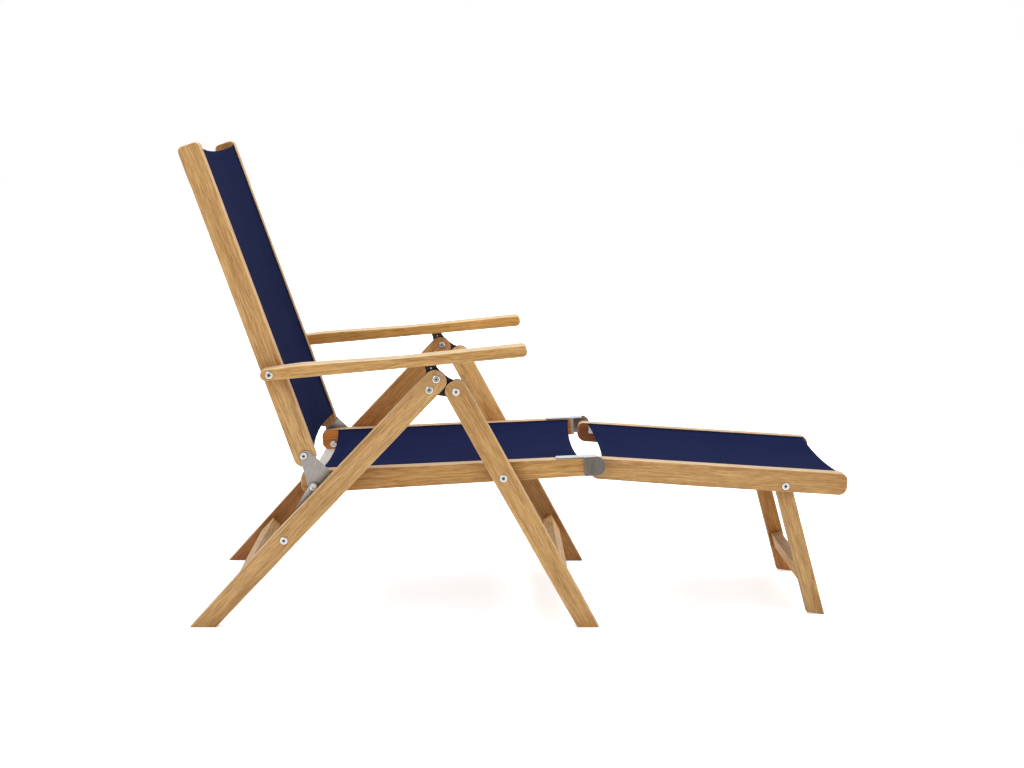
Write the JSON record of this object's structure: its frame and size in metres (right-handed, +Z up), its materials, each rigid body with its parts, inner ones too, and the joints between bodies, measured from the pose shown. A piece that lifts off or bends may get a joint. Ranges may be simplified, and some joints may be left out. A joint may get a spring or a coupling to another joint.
{
  "type": "folding deck chair",
  "caption": "Teak folding deck chair with fabric slings for seat, back and footrest, armrests resting on steel brackets, and a footrest on hinged legs.",
  "frame": {"origin": "on the floor, on the centre plane, under the middle of the overall length with the chair open", "axes": "+X towards the foot end, +Y towards the sitter's left, +Z up"},
  "size_m": [1.4775, 0.6042, 1.0671],
  "materials": {
    "teak": "oiled satin",
    "steel": "brushed",
    "dark_steel": "dark bronze satin",
    "sling_fabric": "woven mesh",
    "cord": "matte"
  },
  "bodies": {
    "rear_frame": {"rear_leg_left": "teak", "rear_leg_right": "teak", "rear_leg_stretcher": "teak", "arm_bracket_left": "dark_steel", "arm_bracket_right": "dark_steel", "bracket_screws": "steel", "arm_stop_pins": "steel", "link_foot_bolts": "steel", "link_foot_spacers": "steel"},
    "front_frame": {"front_leg_left": "teak", "front_leg_right": "teak", "front_leg_stretcher": "teak", "front_leg_pivot_bolts": "steel", "seat_pivot_bolts": "steel", "seat_pivot_spacers": "steel"},
    "seat_frame": {"seat_rail_left": "teak", "seat_rail_right": "teak", "seat_rear_crossbar": "teak", "seat_front_crossbar": "teak", "hinge_plate_left": "steel", "hinge_plate_right": "steel", "hinge_plate_screws": "steel", "link_head_bolts": "steel", "footrest_bracket_left": "steel", "footrest_bracket_right": "steel", "footrest_hinge_pins": "steel", "footrest_hinge_sleeves": "steel", "seat_sling": "sling_fabric", "seat_sling_cords": "cord"},
    "link_bars": {"link_bar_left": "steel", "link_bar_right": "steel"},
    "back_pins": {"back_pivot_bolts": "steel"},
    "back_frame": {"back_stile_left": "teak", "back_stile_right": "teak", "back_lower_crossbar": "teak", "back_top_crossbar": "teak", "back_sling": "sling_fabric", "back_sling_cords": "cord"},
    "arm_pins": {"arm_pivot_bolts": "steel"},
    "armrests": {"armrest_left": "teak", "armrest_right": "teak"},
    "footrest_frame": {"footrest_rail_left": "teak", "footrest_rail_right": "teak", "footrest_rear_crossbar": "teak", "footrest_front_crossbar": "teak", "footrest_leg_bolts": "steel", "footrest_leg_spacers": "steel", "footrest_hinge_leaf_left": "steel", "footrest_hinge_leaf_right": "steel", "footrest_sling": "sling_fabric", "footrest_sling_cords": "cord"},
    "footrest_legs": {"footrest_leg_left": "teak", "footrest_leg_right": "teak", "footrest_leg_stretcher": "teak"}
  },
  "joints": [
    {"name": "main_fold", "type": "hinge", "parent": "rear_frame", "child": "front_frame", "pos_m": [-0.1435, 0, 0.5335], "axis": [0, 1, 0], "range_deg": [0, 69]},
    {"name": "seat_tilt", "type": "hinge", "parent": "front_frame", "child": "seat_frame", "pos_m": [-0.0389, 0, 0.3409], "axis": [0, 1, 0], "range_deg": [-98.4, 0]},
    {"name": "link_swing", "type": "hinge", "parent": "seat_frame", "child": "link_bars", "pos_m": [-0.4585, 0, 0.3134], "axis": [0, 1, 0], "range_deg": [-118.4, 0]},
    {"name": "back_fold", "type": "hinge", "parent": "seat_frame", "child": "back_pins", "pos_m": [-0.4798, 0, 0.3833], "axis": [0, 1, 0], "range_deg": [0, 100.1]},
    {"name": "back_recline", "type": "hinge", "parent": "back_pins", "child": "back_frame", "pos_m": [-0.4798, 0, 0.3833], "axis": [0, -1, 0], "range_deg": [0, 35]},
    {"name": "arm_level", "type": "hinge", "parent": "back_frame", "child": "arm_pins", "pos_m": [-0.5475, 0, 0.5708], "axis": [0, 1, 0], "range_deg": [0, 27.4]},
    {"name": "arm_fold", "type": "hinge", "parent": "arm_pins", "child": "armrests", "pos_m": [-0.5475, 0, 0.5708], "axis": [0, 1, 0], "range_deg": [-118.1, 0]},
    {"name": "footrest_tilt", "type": "hinge", "parent": "seat_frame", "child": "footrest_frame", "pos_m": [0.1664, 0, 0.3595], "axis": [0, 1, 0], "range_deg": [0, 80]},
    {"name": "footrest_leg_fold", "type": "hinge", "parent": "footrest_frame", "child": "footrest_legs", "pos_m": [0.5973, 0, 0.3112], "axis": [0, 1, 0], "range_deg": [0, 105]}
  ],
  "couplings": [
    {"joint": "seat_tilt", "follows": "main_fold", "ratio": -1.4249},
    {"joint": "link_swing", "follows": "main_fold", "ratio": -1.7144},
    {"joint": "back_fold", "follows": "main_fold", "ratio": 1.4493},
    {"joint": "arm_level", "follows": "back_recline", "ratio": 0.78},
    {"joint": "arm_fold", "follows": "main_fold", "ratio": -1.7101}
  ]
}
